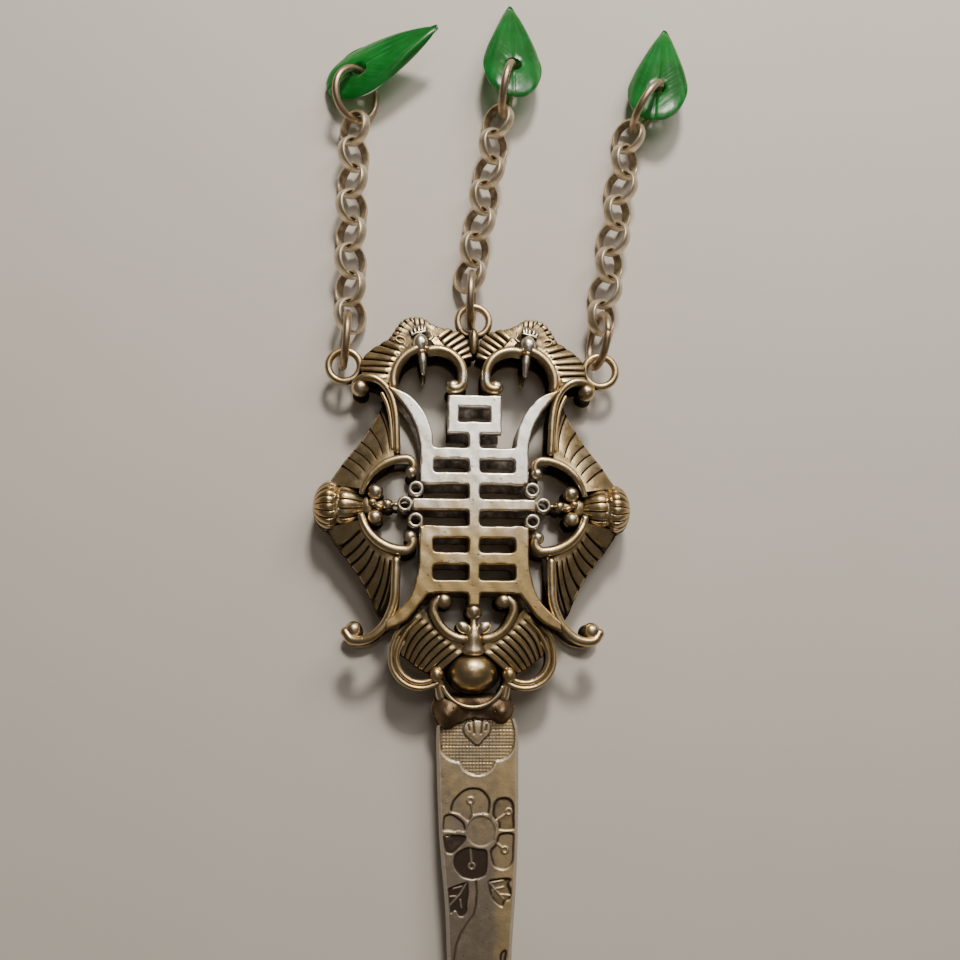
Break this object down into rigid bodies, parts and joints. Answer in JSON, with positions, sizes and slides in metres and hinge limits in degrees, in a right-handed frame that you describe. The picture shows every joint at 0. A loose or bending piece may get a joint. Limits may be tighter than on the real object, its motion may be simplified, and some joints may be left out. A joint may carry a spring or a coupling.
{
  "type": "hair stick",
  "caption": "Antiqued metal hair stick with a flat tapering blade, a double-sided openwork lattice head framed by bats, and short chains ending in green glass leaf beads",
  "frame": {"origin": "middle of the lattice on the back face of the head, which the stick lies on", "axes": "+Y from the blade's point to the leaf beads, +Z from the back face to the front face, +X to the right seen from the front"},
  "size_m": [0.0568, 0.2193, 0.0092],
  "materials": {
    "antique_metal": "antiqued pale brass and worn silver plate, dark in the recesses",
    "chain_metal": "satin, slightly warm",
    "ring_metal": "satin, brown in the shade",
    "leaf_glass": "translucent moulded glass with fine veins"
  },
  "bodies": {
    "root": {"head_and_blade": "antique_metal", "left_link_1": "chain_metal", "left_link_2": "chain_metal", "left_link_3": "chain_metal", "left_link_4": "chain_metal", "left_link_5": "chain_metal", "left_link_6": "chain_metal", "left_link_7": "chain_metal", "left_link_8": "chain_metal", "centre_link_1": "chain_metal", "centre_link_2": "chain_metal", "centre_link_3": "chain_metal", "centre_link_4": "chain_metal", "centre_link_5": "chain_metal", "centre_link_6": "chain_metal", "centre_link_7": "chain_metal", "right_link_1": "chain_metal", "right_link_2": "chain_metal", "right_link_3": "chain_metal", "right_link_4": "chain_metal", "right_link_5": "chain_metal", "right_link_6": "chain_metal", "right_link_7": "chain_metal", "right_link_8": "chain_metal", "left_jump_ring": "ring_metal", "centre_jump_ring": "ring_metal", "right_jump_ring": "ring_metal", "left_drop_ring": "ring_metal", "centre_drop_ring": "ring_metal", "right_drop_ring": "ring_metal", "left_leaf": "leaf_glass", "centre_leaf": "leaf_glass", "right_leaf": "leaf_glass"}
  },
  "joints": []
}
